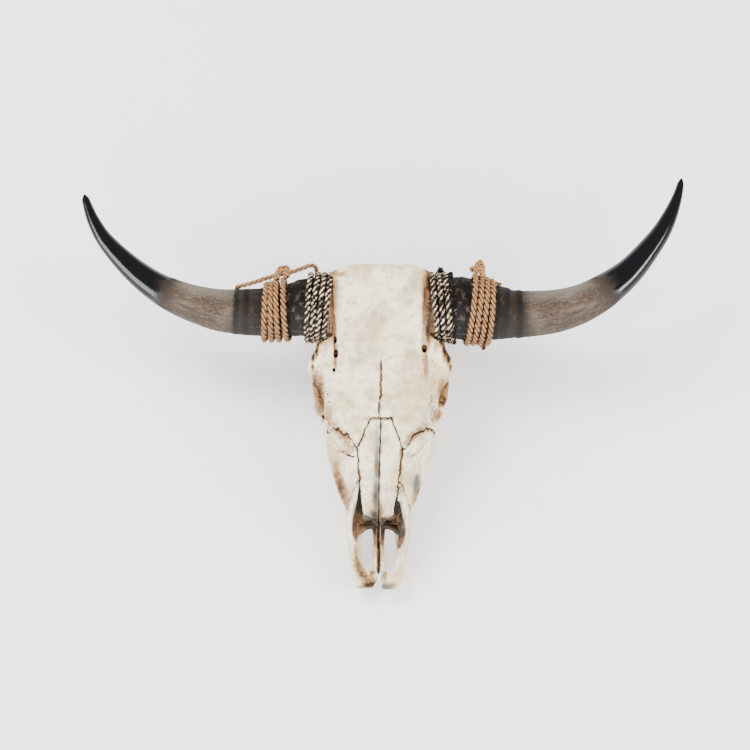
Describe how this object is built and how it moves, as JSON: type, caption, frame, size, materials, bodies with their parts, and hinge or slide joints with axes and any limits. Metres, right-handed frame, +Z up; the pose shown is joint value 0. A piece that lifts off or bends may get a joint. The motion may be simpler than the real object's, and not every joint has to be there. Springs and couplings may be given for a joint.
{
  "type": "longhorn steer skull",
  "caption": "Longhorn steer's skull without its lower jaw, lying face up, with long upswept horns bound in dark cord and tan rope at their roots.",
  "frame": {"origin": "on the floor below the middle of the whole model's box, with the skull lying face up", "axes": "+X towards the steer's left, along the span of the horns; +Y from the muzzle to the poll; +Z up"},
  "size_m": [0.9226, 0.602, 0.2798],
  "materials": {
    "bone": "dry weathered bone, ivory with brown stains",
    "horn": "streaked grey-brown horn, polished black at the tips",
    "dark_cord": "dark twisted cord rubbed pale on its crowns",
    "tan_rope": "tan three-strand jute rope"
  },
  "bodies": {
    "root": {"cranium": "bone", "maxilla_left": "bone", "maxilla_right": "bone", "nasal_left": "bone", "nasal_right": "bone", "premaxilla_left": "bone", "premaxilla_right": "bone", "horn_left": "horn", "horn_right": "horn", "dark_cord_left": "dark_cord", "dark_cord_right": "dark_cord", "tan_rope_left": "tan_rope", "tan_rope_right": "tan_rope"}
  },
  "joints": []
}
